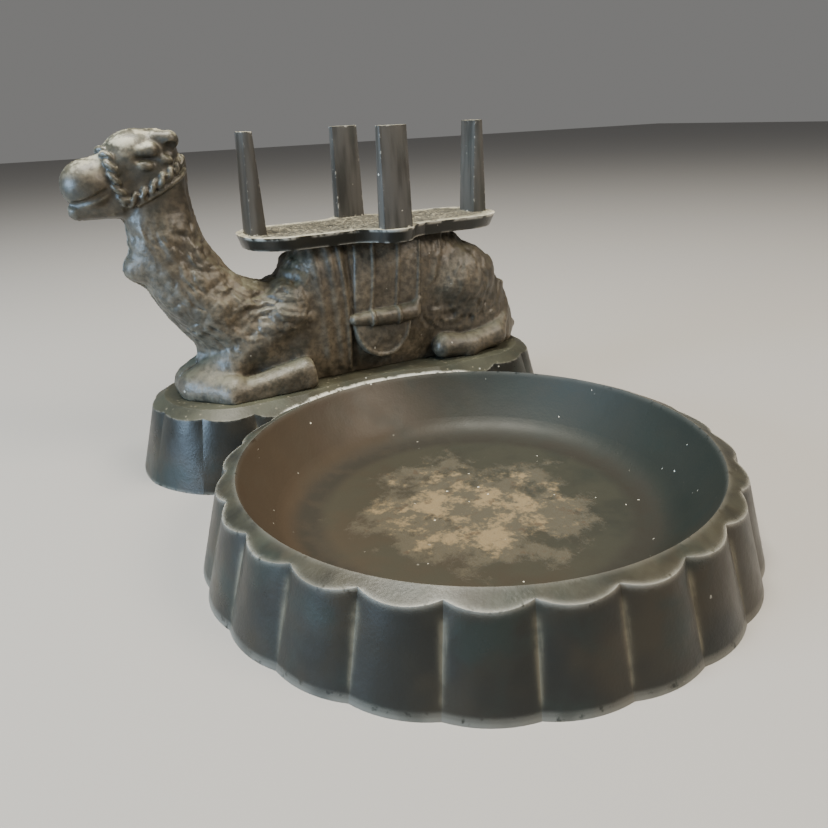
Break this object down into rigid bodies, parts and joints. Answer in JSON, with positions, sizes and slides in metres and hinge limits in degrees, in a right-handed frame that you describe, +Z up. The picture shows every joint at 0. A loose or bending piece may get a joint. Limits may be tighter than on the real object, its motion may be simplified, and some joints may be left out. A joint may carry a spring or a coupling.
{
  "type": "ash dish with figure and cigarette rack",
  "caption": "Round fluted cast-metal ash dish joined to a fluted plinth that carries a kneeling camel with a flat tray and upright posts on its back to hold cigarettes.",
  "frame": {"origin": "middle of the footprint's bounding box, on the table", "axes": "+X along the camel from head to rump, -Y from the camel to the dish, +Z up"},
  "size_m": [0.1593, 0.1914, 0.1058],
  "materials": {
    "dish_paint": "satin black paint, worn to bright metal on the flute tops, tan residue on the bowl floor",
    "plinth_paint": "satin black paint, dusty on the pad, worn along the scalloped edge",
    "camel_paint": "satin black paint, brownish dust in the hair, chipped on the high points",
    "tray_paint": "matt black paint over a rough sand-cast top, dusty, edge worn bright",
    "post_paint": "satin black paint with small bright chips",
    "screw_steel": "dull zinc-plated steel"
  },
  "bodies": {
    "root": {"dish": "dish_paint", "plinth": "plinth_paint", "camel_near_half": "camel_paint", "camel_far_half": "camel_paint", "saddle_tray": "tray_paint", "post_neck_end": "post_paint", "post_rump_end": "post_paint", "post_near_side": "post_paint", "post_far_side": "post_paint", "camel_screws": "screw_steel", "base_screws": "screw_steel"}
  },
  "joints": []
}
